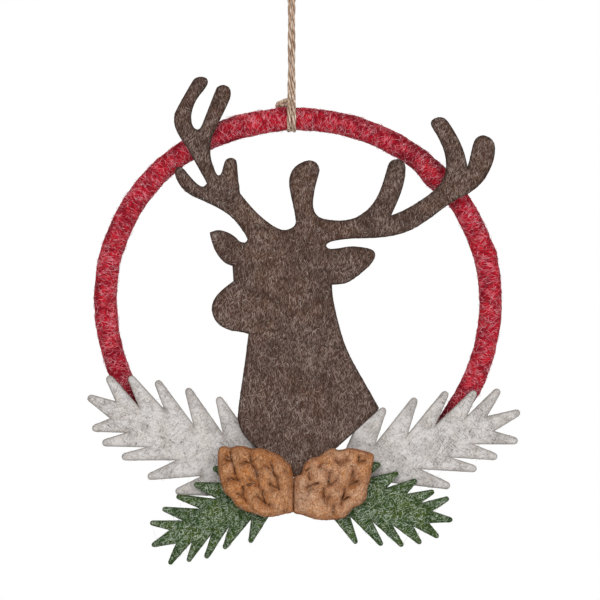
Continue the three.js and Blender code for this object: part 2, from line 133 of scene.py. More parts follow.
cameraData = bpy.data.cameras.new("camera")
cameraData.lens = cameraLook["lens"]
cameraData.sensor_width = cameraLook["sensor"]
camera = bpy.data.objects.new("camera", cameraData)
away = cameraLook["frame"] * cameraLook["lens"] / cameraLook["sensor"]
camera.location = (Vector(cameraLook["middle"]) - Vector((0, away, 0))) * mm
camera.rotation_euler = (math.pi / 2, 0, 0)
scene.collection.objects.link(camera)
scene.camera = camera
print("camera set")


# Finishes

# Wool felt: matt, mottled in tone, a mat of fine fibres that lie every way, darker at a cut edge.
# The fibres are drawn 0.3 to 0.5 mm wide, several real ones together, so that they show.
# The edge mix also lays painted shade on the hoop and the cones.
def feltFinish(name, look):
    material, tree = emptyMaterial(name)
    place = addNode(tree, "ShaderNodeTexCoord").outputs["Object"]
    patch = addNode(tree, "ShaderNodeTexNoise",
                    {"Vector": place, "Scale": 1 / (look["patch"] * mm), "Detail": 2})
    warmth = addNode(tree, "ShaderNodeMapRange", {0: patch.outputs[0], 1: 0.42, 2: 0.6})
    colour = addNode(tree, "ShaderNodeMix",
                     {0: warmth.outputs[0], 6: linear(look["base"]), 7: linear(look["warm"])},
                     data_type="RGBA").outputs[2]
    cloud = addNode(tree, "ShaderNodeTexNoise",
                    {"Vector": place, "Scale": 1 / (look["cloud"] * mm), "Detail": 3})
    depth = addNode(tree, "ShaderNodeMapRange",
                    {0: cloud.outputs[0], 1: 0.52, 2: 0.36, 3: 0, 4: look["darkShare"]})
    colour = addNode(tree, "ShaderNodeMix",
                     {0: depth.outputs[0], 6: colour, 7: linear(look["dark"])},
                     data_type="RGBA").outputs[2]
    if "fade" in look:  # paler wool in places
        faded = addNode(tree, "ShaderNodeAttribute", attribute_name="faded").outputs["Fac"]
        colour = addNode(tree, "ShaderNodeMix",
                         {0: faded, 6: colour, 7: linear(look["fade"])},
                         data_type="RGBA").outputs[2]
    lay = place
    if "wrap" in look:  # wool that is wound on: the fibres follow the winding
        lay = addNode(tree, "ShaderNodeUVMap", uv_map=look["wrap"]).outputs[0]
    bend = addNode(tree, "ShaderNodeTexNoise",
                   {"Vector": place, "Scale": 1 / (2.2 * mm), "Detail": 1})
    bent = addNode(tree, "ShaderNodeVectorMath",
                   {0: bend.outputs["Color"], 1: [look["curl"] * mm] * 3, 2: lay},
                   operation="MULTIPLY_ADD")
    pale = pit = None
    fibre = [look[key] * mm for key in ("fibreLength", "fibreWidth", "fibreWidth")]
    for i, turn in enumerate(look["turns"]):  # the ways that the fibres lie
        turn = math.radians(turn)
        lying = addNode(tree, "ShaderNodeMapping",
                        {"Vector": bent.outputs[0], "Location": (i * 0.07, i * 0.05, 0),
                         "Rotation": (0, 0, turn) if "wrap" in look else (0.3 * i, turn, 0),
                         "Scale": fibre}, vector_type="TEXTURE")
        streak = addNode(tree, "ShaderNodeTexNoise",
                         {"Vector": lying.outputs[0], "Scale": 1, "Detail": 1}).outputs[0]
        light = addNode(tree, "ShaderNodeMapRange",
                        {0: streak, 1: look["paleFrom"], 2: look["paleFrom"] + 0.06}).outputs[0]
        hole = addNode(tree, "ShaderNodeMapRange",
                       {0: streak, 1: look["pitTo"], 2: look["pitTo"] - 0.06}).outputs[0]
        pale = light if pale is None else addNode(
            tree, "ShaderNodeMath", {0: pale, 1: light}, operation="MAXIMUM").outputs[0]
        pit = hole if pit is None else addNode(
            tree, "ShaderNodeMath", {0: pit, 1: hole}, operation="MAXIMUM").outputs[0]
    frost = addNode(tree, "ShaderNodeMapRange",
                    {0: cloud.outputs[0], 1: 0.4, 2: 0.62, 3: look["paleShare"] * look["even"],
                     4: look["paleShare"]})
    shown = addNode(tree, "ShaderNodeMath", {0: pale, 1: frost.outputs[0]}, operation="MULTIPLY")
    sunk = addNode(tree, "ShaderNodeMath", {0: pit, 1: look["pitShare"]}, operation="MULTIPLY")
    colour = addNode(tree, "ShaderNodeMix",
                     {0: sunk.outputs[0], 6: colour, 7: linear(look["pit"])},
                     data_type="RGBA").outputs[2]
    colour = addNode(tree, "ShaderNodeMix",
                     {0: shown.outputs[0], 6: colour, 7: linear(look["pale"])},
                     data_type="RGBA").outputs[2]
    if "speck" in look:  # stray dark fibres caught in the pale wool, more in some places
        crowd = addNode(tree, "ShaderNodeMapRange",
                        {0: cloud.outputs[0], 1: 0.62, 2: 0.44, 3: 0, 4: look["speckShare"]})
        for turn in look["speckTurns"]:
            lying = addNode(tree, "ShaderNodeMapping",
                            {"Vector": bent.outputs[0], "Rotation": (0, math.radians(turn), 0),
                             "Scale": [size * mm for size in look["speckSize"]]},
                            vector_type="TEXTURE")
            stray = addNode(tree, "ShaderNodeTexNoise",
                            {"Vector": lying.outputs[0], "Scale": 1, "Detail": 1})
            stray = addNode(tree, "ShaderNodeMapRange", {0: stray.outputs[0], 1: 0.62, 2: 0.71})
            stray = addNode(tree, "ShaderNodeMath", {0: stray.outputs[0], 1: crowd.outputs[0]},
                            operation="MULTIPLY")
            colour = addNode(tree, "ShaderNodeMix",
                             {0: stray.outputs[0], 6: colour, 7: linear(look["speck"])},
                             data_type="RGBA").outputs[2]
    if "paintedShade" in look:  # painted shade: a darker, redder colour beside the pressed lines and on the sides that turn away
        paintedShadeMask = addNode(tree, "ShaderNodeAttribute", attribute_name="paintedShade").outputs["Fac"]
        colour = addNode(tree, "ShaderNodeMix",
                         {0: paintedShadeMask, 6: colour, 7: linear(look["paintedShade"])},
                         data_type="RGBA").outputs[2]
    # edge mix: dark cut edges and the hoop's seam, and painted shade in the hoop's V's and tube
    # edges and in the cones' pressed lines and wrinkles
    rim = addNode(tree, "ShaderNodeAttribute", attribute_name="rim").outputs["Fac"]
    edge = addNode(tree, "ShaderNodeMath", {0: rim, 1: look["edgeShare"]}, operation="MULTIPLY")
    colour = addNode(tree, "ShaderNodeMix",
                     {0: edge.outputs[0], 6: colour, 7: linear(look["edge"])},
                     data_type="RGBA").outputs[2]
    height = addNode(tree, "ShaderNodeMath", {0: pale, 1: pit}, operation="SUBTRACT")
    bump = addNode(tree, "ShaderNodeBump",
                   {"Height": height.outputs[0], "Strength": 0.6, "Distance": look["bump"] * mm})
    felt = addNode(tree, "ShaderNodeBsdfPrincipled",
                   {"Base Color": colour, "Roughness": 0.95, "Specular IOR Level": 0.1,
                    "Sheen Weight": look["sheen"], "Sheen Roughness": 0.5,
                    "Normal": bump.outputs[0]})
    addNode(tree, "ShaderNodeOutputMaterial", {0: felt.outputs[0]})
    return material


# Loose wool: single hairs, paler than the felt that they stand on
def woolFinish(name, look):
    material, tree = emptyMaterial(name)
    place = addNode(tree, "ShaderNodeTexCoord").outputs["Object"]
    drift = addNode(tree, "ShaderNodeTexNoise", {"Vector": place, "Scale": 1 / (1.4 * mm)})
    share = addNode(tree, "ShaderNodeMapRange", {0: drift.outputs[0], 1: 0.38, 2: 0.62})
    colour = addNode(tree, "ShaderNodeMix",
                     {0: share.outputs[0], 6: linear(look["hair"]), 7: linear(look["hairPale"])},
                     data_type="RGBA")
    wool = addNode(tree, "ShaderNodeBsdfPrincipled",
                   {"Base Color": colour.outputs[2], "Roughness": 0.7, "Specular IOR Level": 0.3,
                    "Sheen Weight": 0.2})
    addNode(tree, "ShaderNodeOutputMaterial", {0: wool.outputs[0]})
    return material


# Hairs over a piece: some lie along the felt, and some stand off it
def strewHairs(name, source, look, material, combed=None):
    rng = random.Random(look["seed"])
    mesh = source.data
    mesh.calc_loop_triangles()
    triangles = list(mesh.loop_triangles)
    surface = BVHTree.FromPolygons([v.co for v in mesh.vertices], [t.vertices for t in triangles])
    curve = bpy.data.curves.new(name, "CURVE")
    curve.dimensions = "3D"
    curve.bevel_depth = look["hairWidth"] * mm / 2
    curve.bevel_resolution = 0
    curve.use_fill_caps = True
    sunk = 0.04 * mm  # a hair's root lies just under the surface
    for triangle in rng.choices(triangles, weights=[t.area for t in triangles], k=look["hairs"]):
        a, b, c = (mesh.vertices[i].co for i in triangle.vertices)
        u, v = sorted((rng.random(), rng.random()))
        root = a * u + b * (v - u) + c * (1 - v)
        heading = Vector([rng.gauss(0, 1) for axis in range(3)])
        if combed:
            heading += combed(root, triangle.normal) * look["comb"] * rng.choice((-1, 1))
        heading = (heading - triangle.normal * heading.dot(triangle.normal)).normalized()
        side = triangle.normal.cross(heading)
        length = rng.uniform(*look["hairLength"]) * mm
        curl = rng.uniform(-1, 1) * look["hairCurl"] * length
        standing = rng.random() < look["standing"]
        lift = rng.uniform(*look["standOff" if standing else "lieOff"]) * mm
        spline = curve.splines.new("POLY")
        spline.points.add(3)
        for i, point in enumerate(spline.points):
            along = i / 3
            reach = along if standing else along - 0.5
            spot = root + heading * length * reach + side * curl * (reach * reach * 4 - 0.5)
            place, normal = surface.find_nearest(spot)[:2]
            rise = lift * along ** 1.4 if standing else lift * (1 - (2 * along - 1) ** 2)
            spot = place + normal * (rise - sunk)
            point.co = (*spot, 1)
            point.radius = 1 - 0.7 * (along if standing else abs(2 * along - 1))
    holder = bpy.data.objects.new(name, curve)
    scene.collection.objects.link(holder)
    return newObject(name, settled(holder), material)


# Twine hanger: one length of three-ply jute from the knot, round the hoop, up over the eye and
# back. The points are the part's own route in mm, drawn in where the two strands lie together.
twineLook = {
    "diameter": 1.7, "pair": 0.68, "sway": 40, "plies": 3, "plyRadius": 0.5, "plyOffset": 0.45,
    "lay": 15, "cordDrop": 62.7, "hitchDrop": 50.7, "eyeDrop": 15, "eyeReach": 3.8, "onHoop": 0.93,
    "overHoop": 0.78, "hoopTurn": 4.5, "step": 0.34, "fibreWidth": 0.36, "fibreLength": 5,
    "turns": (326, 59.4), "knotOut": 0.7, "knotIn": 1.2,  # from the knot, round the hoop
    "leave": ((-1.6, 4.4), (-0.25, 1)),  # depth, and height below where the strands part
    "eye": ((0.1, -13), (0.35, -10.2), (0.85, -6.75), (1, -2.95)),  # share of its reach, height
    "eyeShoulder": (0.707, -0.26), "eyeTop": 0.85,
    # groove is the painted shade between the plies, and pale the painted glint colour
    "base": "#dcc1ab", "dark": "#98765a", "pale": "#fbf1e6", "groove": "#452b19",
    "hair": "#a98c75", "hairPale": "#dccab8", "hairs": 330, "hairLength": (1.0, 2.6),
    "hairWidth": 0.11, "hairCurl": 0.4, "standing": 0.5, "standOff": (0.15, 0.7),
    "lieOff": (0.02, 0.1), "seed": 11,
}


def twineStrand(look, side):
    pair, drop = look["pair"], look["cordDrop"]
    first, last = look["turns"]
    points = []
    for step in range(11):  # knot, down behind the hoop, under it and up its front
        along = step / 10
        turn = math.radians(first - (first - last) * along)
        out = look["hoopTurn"] + look["knotOut"] * max(0, 1 - along * 5)
        inward = look["knotIn"] * max(0, 1 - along * 3)
        points.append((side * look["onHoop"] - inward, -out * math.sin(turn),
                       out * math.cos(turn) - drop))
    for depth, below in look["leave"]:
        points.append((side * look["overHoop"], depth, -look["hitchDrop"] - below))
    rise = look["hitchDrop"] - look["eyeDrop"]
    for step in range(13):  # up to the fork, swaying round the other strand
        along = 1 - step / 12
        turn = math.radians(look["sway"]) * math.sin(2 * math.pi * along)
        apart = pair + (look["overHoop"] - pair) * max(0, along * 4 - 3)
        points.append((side * apart * math.cos(turn), side * apart * math.sin(turn),
                       -look["eyeDrop"] - 0.5 - along * (rise - 1)))
    reach = look["eyeReach"]
    for out, height in look["eye"]:
        points.append((side * (pair + (reach - pair) * out), 0, height))
    out, height = look["eyeShoulder"]
    points.append((side * reach * out, 0, height))
    return [Vector(p) * mm for p in points]


# A route through the points at even steps
def evenRoute(points, step):
    ends = [points[0] * 2 - points[1], *points, points[-1] * 2 - points[-2]]
    fine = []
    for p, q, r, s in zip(ends, ends[1:], ends[2:], ends[3:]):
        for i in range(24):
            t = i / 24
            fine.append(0.5 * ((2 * q) + (r - p) * t + (2 * p - 5 * q + 4 * r - s) * t * t
                               + (3 * q - p - 3 * r + s) * t ** 3))
    fine.append(points[-1])
    route, run = [fine[0]], 0
    for a, b in zip(fine, fine[1:]):
        gap = (b - a).length
        while gap and run + gap >= step:
            a = a + (b - a) * ((step - run) / gap)
            route.append(a)
            gap, run = (b - a).length, 0
        run += gap
    return route


# Plies laid round a route, with the twist of the real twine
def layPlies(name, route, look, material, size=1):
    curve = bpy.data.curves.new(name, "CURVE")
    curve.dimensions = "3D"
    curve.bevel_depth = look["plyRadius"] * size * mm
    curve.bevel_resolution = 3
    curve.use_fill_caps = True
    for ply in range(look["plies"]):
        spline = curve.splines.new("POLY")
        spline.points.add(len(route) - 1)
        heading = (route[1] - route[0]).normalized()
        across = heading.orthogonal().normalized()
        gone = 0
        for i, spot in enumerate(route):
            if i:
                gone += (spot - route[i - 1]).length
            nextHeading = (route[min(i + 1, len(route) - 1)] - route[max(i - 1, 0)]).normalized()
            across = heading.rotation_difference(nextHeading) @ across
            heading = nextHeading
            turn = -2 * math.pi * (gone / (look["lay"] * mm) + ply / look["plies"])
            out = across * math.cos(turn) + heading.cross(across) * math.sin(turn)
            spline.points[i].co = (*(spot + out * look["plyOffset"] * size * mm), 1)
    holder = bpy.data.objects.new(name, curve)
    scene.collection.objects.link(holder)
    piece = newObject(name, settled(holder), material)
    middle = pointTree(route)
    outer = (look["plyOffset"] + look["plyRadius"]) * size * mm
    groove = piece.data.attributes.new("groove", "FLOAT", "POINT")
    for v in piece.data.vertices:  # 1 where two plies meet, 0 at their outside: the mask for painted shade between the plies
        groove.data[v.index].value = min(1, max(0, 1.9 - 1.9 * middle.find(v.co)[2] / outer))
    return piece


# Jute twine: dull straw brown, long pale fibres with painted glints, and painted shade in the
# lines between the plies
def juteFinish(look):
    material, tree = emptyMaterial("juteTwine")
    place = addNode(tree, "ShaderNodeTexCoord").outputs["Object"]
    fibre = [look[key] * mm for key in ("fibreWidth", "fibreWidth", "fibreLength")]
    long = addNode(tree, "ShaderNodeMapping", {"Vector": place, "Scale": fibre},
                   vector_type="TEXTURE")
    streak = addNode(tree, "ShaderNodeTexNoise",
                     {"Vector": long.outputs[0], "Scale": 1, "Detail": 3})
    share = addNode(tree, "ShaderNodeMapRange", {0: streak.outputs[0], 1: 0.38, 2: 0.58})
    colour = addNode(tree, "ShaderNodeMix",
                     {0: share.outputs[0], 6: linear(look["dark"]), 7: linear(look["base"])},
                     data_type="RGBA")
    glint = addNode(tree, "ShaderNodeMapRange",
                    {0: streak.outputs[0], 1: 0.56, 2: 0.72, 3: 0, 4: 0.8})
    colour = addNode(tree, "ShaderNodeMix",
                     {0: glint.outputs[0], 6: colour.outputs[2], 7: linear(look["pale"])},
                     data_type="RGBA")
    # painted shade in the lines where the plies meet
    groove = addNode(tree, "ShaderNodeAttribute", attribute_name="groove").outputs["Fac"]
    shade = addNode(tree, "ShaderNodeMapRange", {0: groove, 1: 0.2, 2: 0.8, 3: 0, 4: 0.9})
    colour = addNode(tree, "ShaderNodeMix",
                     {0: shade.outputs[0], 6: colour.outputs[2], 7: linear(look["groove"])},
                     data_type="RGBA")
    bump = addNode(tree, "ShaderNodeBump",
                   {"Height": streak.outputs[0], "Strength": 0.6, "Distance": 0.1 * mm})
    jute = addNode(tree, "ShaderNodeBsdfPrincipled",
                   {"Base Color": colour.outputs[2], "Roughness": 0.75, "Specular IOR Level": 0.3,
                    "Sheen Weight": 0.15, "Normal": bump.outputs[0]})
    addNode(tree, "ShaderNodeOutputMaterial", {0: jute.outputs[0]})
    return material


jute = juteFinish(twineLook)
juteHair = woolFinish("juteHair", twineLook)
leftStrand = twineStrand(twineLook, -1)
rightStrand = twineStrand(twineLook, 1)
eyeTop = Vector((0, 0, twineLook["eyeTop"])) * mm
twineRoute = evenRoute([*leftStrand, eyeTop, *reversed(rightStrand)], twineLook["step"] * mm)
twine = layPlies("twineHanger", twineRoute, twineLook, jute)
twineHairs = strewHairs("twineHairs", twine, twineLook, juteHair)

# The knot: the two ends tied together behind the hoop's top
knotLook = {"middle": (-3.3, 2.3, -56.4), "size": (2.3, 0.8, 0.8), "lean": 20, "turns": 60,
            "closed": 0.97, "step": 0.3, "ply": 1.5}
knotRoute = []
for step in range(knotLook["turns"] + 1):
    turn = 2 * math.pi * (step / knotLook["turns"]) * knotLook["closed"]
    fold = Vector((math.sin(turn) + 2 * math.sin(2 * turn), -math.sin(3 * turn) * 3,
                   math.cos(turn) - 2 * math.cos(2 * turn))) / 3
    fold = Vector([f * s for f, s in zip(fold, knotLook["size"])])
    fold.z += fold.x * math.tan(math.radians(knotLook["lean"]))  # its left end hangs lower
    knotRoute.append((Vector(knotLook["middle"]) + fold) * mm)
knotRoute = evenRoute(knotRoute, knotLook["step"] * mm)
knot = layPlies("twineKnot", knotRoute, twineLook, jute, knotLook["ply"])
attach(knot, "hanger")
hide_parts("hitch_knot")

for piece in (twine, twineHairs):
    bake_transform(piece)
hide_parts("hanging_eye", "cord_strand_left", "cord_strand_right", "hoop_hitch")


# Hoop: wool wrapped and felted over the wire, with a seam along the back
hoopLook = {
    "radius": 76.1, "oval": 1.3, "lift": 0.4, "shoulder": 0.45, "side": 0.4, "skew": 0.35,
    "thickness": 9, "rings": 40, "steps": 560, "lump": 0.32, "lumpSize": 7, "nub": 0.16,
    "nubSize": 1.9, "pressTo": 0.9, "pressSoft": 0.12, "seamWidth": 9, "seamDepth": 0.75,
    "seamShade": 0.7, "seamDrift": 3, "shadeSpread": 2.5,
    # where the wool lies thick or thin: angle, outside or inside, height and width in degrees
    "thick": ((43, -1, 1.2, 5), (15, 1, 0.7, 2.5), (9, 1, 0.3, 6), (-160, 1, 0.5, 2),
              (108, 1, 0.35, 8), (103, -1, 0.3, 9), (95, 1, 0.5, 2.2), (-158, -1, -0.35, 10)),
    # painted shade along one edge of the tube, where it turns away from the light: angle, outside
    # or inside, share and width
    "shadedAt": ((51, 1, 0.62, 9), (72, 1, 0.25, 11)),
    # painted shade in the V's between the tines, where the wool is also pressed in a little:
    # place, reach and share
    "pressedAndShadedAt": ((-63.2, -40.8, 12, 1), (55.6, -47.4, 11, 1)),
    # the edge colour darkens the back seam, and is painted shade in the V's and along the tube's
    # edges
    "base": "#bb182c", "warm": "#c51f2d", "dark": "#860d1f", "pit": "#6c0a1a", "pale": "#ee8795",
    "edge": "#4a0812", "patch": 12, "cloud": 5, "curl": 0.5, "fibreLength": 3.6,
    "fibreWidth": 0.48, "wrap": "wrap", "turns": (58, 80, 102, 126), "darkShare": 0.8,
    "paleFrom": 0.63, "paleShare": 0.74, "even": 0.3, "pitTo": 0.39, "pitShare": 0.7,
    "edgeShare": 0.9, "bump": 0.25, "sheen": 0.02,
    "hair": "#bd3a4c", "hairPale": "#f2acb5", "hairs": 6500, "hairLength": (1.4, 3.8),
    "hairWidth": 0.2, "hairCurl": 0.3, "comb": 2, "standing": 0.35, "standOff": (0.2, 0.9),
    "lieOff": (0.05, 0.22), "seed": 3,
}


def hoopLine(look, angle):
    return (look["radius"] + look["lift"] * math.sin(angle) + look["oval"] * math.cos(2 * angle)
            + look["shoulder"] * math.sin(3 * angle) + look["side"] * math.cos(angle)
            - look["skew"] * math.sin(2 * angle)) * mm


def turnedFrom(angle, turn):
    return (math.degrees(angle) - turn + 180) % 360 - 180


def makeHoop(look):
    twineTree = pointTree(twineRoute + knotRoute)
    bm = bmesh.new()
    bmesh.ops.create_circle(bm, segments=look["rings"], radius=look["thickness"] / 2 * mm)
    bmesh.ops.translate(bm, verts=bm.verts, vec=(look["radius"] * mm, 0, 0))
    bmesh.ops.spin(bm, geom=bm.verts[:] + bm.edges[:], axis=(0, 1, 0), cent=(0, 0, 0),
                   angle=2 * math.pi, steps=look["steps"], use_merge=True)
    bmesh.ops.remove_doubles(bm, verts=bm.verts, dist=1e-6)
    seamAndShade = bm.verts.layers.float.new("rim")
    wound = {}
    for v in bm.verts:
        angle = math.atan2(v.co.z, v.co.x)
        outward = Vector((math.cos(angle), 0, math.sin(angle)))
        wound[v] = (angle, math.atan2(v.co.dot(outward) - look["radius"] * mm, -v.co.y))
        v.co += outward * (hoopLine(look, angle) - look["radius"] * mm)
        centre = outward * hoopLine(look, angle)
        spoke = (v.co - centre).normalized()
        swell = (noiseAt(v.co, look["lumpSize"], 2) * look["lump"]
                 + noiseAt(v.co, look["nubSize"], 9) * look["nub"])
        away = math.degrees(math.acos(min(1, spoke.y)))  # from the back of the tube
        away += look["seamDrift"] * noiseAt(centre, 9, 5)
        pressedAndShaded = look["seamShade"] * math.exp(-(away / look["seamWidth"]) ** 2)
        # painted shade in the V's between the tines; the same value also presses the wool in there
        for x, z, reach, share in look["pressedAndShadedAt"]:
            gap = math.hypot(v.co.x / mm - x, v.co.z / mm - z)
            pressedAndShaded = max(pressedAndShaded, share * math.exp(-(gap / reach) ** 2))
        v[seamAndShade] = pressedAndShaded
        # painted shade along the tube's edge, where it turns away from the light
        for turn, side, share, width in look["shadedAt"]:
            near = math.exp(-(turnedFrom(angle, turn) / width) ** 2)
            edge = min(1, max(0, look["shadeSpread"] * side * spoke.dot(outward)))
            v[seamAndShade] = max(v[seamAndShade], near * share * edge)
        for turn, side, height, width in look["thick"]:
            near = math.exp(-(turnedFrom(angle, turn) / width) ** 2)
            swell += near * height * max(0, side * spoke.dot(outward))
        v.co += spoke * (swell - pressedAndShaded * look["seamDepth"]) * mm
        v.co += hoopCentre
        under = look["pressTo"] - twineTree.find(v.co)[2] / mm  # the twine sinks into the wool
        v.co -= spoke * (under + math.sqrt(under * under + look["pressSoft"])) / 2 * mm
    bmesh.ops.recalc_face_normals(bm, faces=bm.faces)
    wrap = bm.loops.layers.uv.new(look["wrap"])  # along the hoop and round the tube, in metres
    for face in bm.faces:
        first = wound[face.loops[0].vert]
        for loop in face.loops:
            along, across = (turn - 2 * math.pi * round((turn - start) / (2 * math.pi))
                             for turn, start in zip(wound[loop.vert], first))
            loop[wrap].uv = (along * look["radius"] * mm, across * look["thickness"] / 2 * mm)
    return meshFrom(bm, "hoopFelt")


def roundTube(root, normal):
    return (root - hoopCentre).cross(Vector((0, 1, 0))).cross(normal).normalized()


hoopFelt = newObject("hoopFelt", makeHoop(hoopLook), feltFinish("wrappedWoolFeltRed", hoopLook))
hoopWool = woolFinish("looseWoolRed", hoopLook)
hoopHairs = strewHairs("hoopHairs", hoopFelt, hoopLook, hoopWool, roundTube)
for piece in (hoopFelt, hoopHairs):
    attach(piece, "ornament")
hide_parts("hoop_wrap")
print("hoop", len(hoopFelt.data.polygons), "faces,", len(hoopHairs.data.polygons), "in hairs")


# Felt cut-outs: pressed sheet cut to the outline, its rim rounded over and its face a little wavy
stagLook = {
    "slot": "stag_felt", "flat": (0.1285, 0.1602), "area": 0.0065,
    "round": 0.35, "cell": 1.0, "wave": 0.12, "waveSize": 14, "rimWidth": 0.6,
    "base": "#59443d", "warm": "#604537", "dark": "#46342c", "pit": "#34251e", "pale": "#a59187",
    "edge": "#2c1f19", "patch": 16, "cloud": 6, "curl": 0.4, "fibreLength": 2.1,
    "fibreWidth": 0.31, "turns": (66, 86, 103, 142), "darkShare": 0.6, "paleFrom": 0.61,
    "paleShare": 0.8, "even": 0.5, "pitTo": 0.4, "pitShare": 0.8, "edgeShare": 0.75,
    "bump": 0.18, "sheen": 0.02,
    "hair": "#6d584e", "hairPale": "#d2c7c0", "hairs": 1500, "hairLength": (1.0, 3.0),
    "hairWidth": 0.17, "hairCurl": 0.3, "comb": 1, "standing": 0.12, "standOff": (0.15, 0.5),
    "lieOff": (0.02, 0.12), "seed": 21,
}
whiteLook = {
    "slot": "white_felt", "round": 0.6, "cell": 0.9, "wave": 0.12, "waveSize": 11,
    "rimWidth": 0.45,
    "base": "#d8d4d2", "warm": "#d8d1cc", "dark": "#b7b0ac", "pit": "#9d9591", "pale": "#e6e3e1",
    "edge": "#989089", "patch": 8, "cloud": 4.5, "curl": 0.7, "fibreLength": 3, "fibreWidth": 0.5,
    "turns": (18, 75, 128, 161), "darkShare": 0.7, "paleFrom": 0.6, "paleShare": 0.6,
    "even": 0.45, "pitTo": 0.38, "pitShare": 0.55, "edgeShare": 0.65, "bump": 0.18, "sheen": 0.01,
    "speck": "#5f5752", "speckShare": 0.75, "speckTurns": (42, 118), "speckSize": (3, 0.38, 0.38),
    "hair": "#b9b1ab", "hairPale": "#e6e3e0", "hairs": 620, "hairLength": (1.2, 3.2),
    "hairWidth": 0.16, "hairCurl": 0.45, "standing": 0.25, "standOff": (0.2, 0.8),
    "lieOff": (0.03, 0.15), "seed": 31,
}
greenLook = {
    "slot": "green_felt", "round": 0.4, "cell": 0.9, "wave": 0.12, "waveSize": 11, "rimWidth": 0.6,
    "base": "#435d31", "warm": "#52652a", "dark": "#2a421c", "pit": "#1e3112", "pale": "#c6d0c0",
    "edge": "#26351a", "patch": 6, "cloud": 4, "curl": 0.6, "fibreLength": 2.4, "fibreWidth": 0.33,
    "turns": (18, 75, 128, 161), "darkShare": 0.7, "paleFrom": 0.625, "paleShare": 0.82,
    "even": 0.7, "pitTo": 0.41, "pitShare": 0.7, "edgeShare": 0.5, "bump": 0.22, "sheen": 0.02,
    "hair": "#66764f", "hairPale": "#b9c2ae", "hairs": 620, "hairLength": (1.2, 3.2),
    "hairWidth": 0.16, "hairCurl": 0.45, "standing": 0.25, "standOff": (0.2, 0.8),
    "lieOff": (0.03, 0.15), "seed": 41,
}


def cutFelt(name, node, look):
    bm = nodeCopy(node)
    bmesh.ops.dissolve_limit(bm, angle_limit=math.radians(0.5), verts=bm.verts, edges=bm.edges)
    flat = {f for f in bm.faces if abs(f.normal.y) > 0.9}
    rim = [e for e in bm.edges if sum(f in flat for f in e.link_faces) == 1]
    bmesh.ops.bevel(bm, geom=rim, offset=look["round"] * mm, offset_type="OFFSET", affect="EDGES",
                    segments=3, profile=0.5, material=-1)
    low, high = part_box(node)
    for axis in (0, 2):  # a grid of cuts gives the flat faces points to bend at
        plane = Vector((axis == 0, 0, axis == 2))
        for step in range(1, int((high[axis] - low[axis]) / (look["cell"] * mm)) + 1):
            bmesh.ops.bisect_plane(bm, geom=bm.verts[:] + bm.edges[:] + bm.faces[:], dist=1e-7,
                                   plane_co=plane * (low[axis] + step * look["cell"] * mm),
                                   plane_no=plane)
    bmesh.ops.triangulate(bm, faces=[f for f in bm.faces if len(f.verts) > 4])
    bm.normal_update()
    darkened = {v for f in bm.faces if abs(f.normal.y) < 0.9 for v in f.verts}
    tree = pointTree([v.co for v in darkened])
    rimLayer = bm.verts.layers.float.new("rim")
    for v in bm.verts:
        v[rimLayer] = math.exp(-tree.find(v.co)[2] / (look["rimWidth"] * mm))
        v.co.y += noiseAt(v.co, look["waveSize"], look["seed"]) * look["wave"] * mm
    return meshFrom(bm, name)


# The right sprig's first tine is pressed against the stag's cut edge and stands up beside it.
# The edge runs down from its upper end, in mm from the hoop's centre.
pressLook = {"upper": (32.8, -41.1), "lower": (15.6, -57.1), "lift": 3.7, "level": 0, "flat": 9.5,
             "held": 13, "free": 21, "overlap": 0.1, "soft": 0.5}


def fadeOut(value, start, end):
    share = min(1, max(0, (end - value) / (end - start)))
    return share * share * (3 - 2 * share)


def pressedTine(mesh):
    look = pressLook
    upper, lower = (Vector((x, 0, z)) * mm + hoopCentre
                    for x, z in (look["upper"], look["lower"]))
    down = (lower - upper).normalized()
    away = Vector((-down.z, 0, down.x))
    for v in mesh.vertices:
        along, off = (v.co - upper).dot(down) / mm, (v.co - upper).dot(away) / mm
        held = fadeOut(along, look["held"], look["free"])
        under = -look["overlap"] - off
        push = (under + math.sqrt(under * under + look["soft"] ** 2)) / 2 * held
        v.co += away * push * mm
        v.co.y -= look["lift"] * held * fadeOut(off, look["level"], look["flat"]) * mm


def upright(root, normal):
    return Vector((0, 0, 1))


def placeFelt(name, node, look, felt, wool, press=None):
    mesh = cutFelt(name, node, look)
    if press:
        press(mesh)
    sheet = newObject(name, mesh, felt)
    hairs = strewHairs(name + "Hairs", sheet, look, wool, upright if "comb" in look else None)
    for piece in (sheet, hairs):
        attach(piece, "ornament")
    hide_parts(node)
    print(name, len(sheet.data.polygons), "faces,", len(hairs.data.polygons), "in hairs")


placeFelt("stagFelt", "stag_head", stagLook, feltFinish("pressedWoolFeltBrown", stagLook),
          woolFinish("looseWoolBrown", stagLook))
whiteFelt = feltFinish("pressedWoolFeltWhite", whiteLook)
whiteWool = woolFinish("looseWoolWhite", whiteLook)
placeFelt("whiteSprigLeft", "white_sprig_left", whiteLook, whiteFelt, whiteWool)
placeFelt("whiteSprigRight", "white_sprig_right", whiteLook, whiteFelt, whiteWool,
          pressedTine)
greenFelt = feltFinish("pressedWoolFeltGreen", greenLook)
greenWool = woolFinish("looseWoolGreen", greenLook)
placeFelt("greenSprigLeft", "green_sprig_left", greenLook, greenFelt, greenWool)
placeFelt("greenSprigRight", "green_sprig_right", greenLook, greenFelt, greenWool)


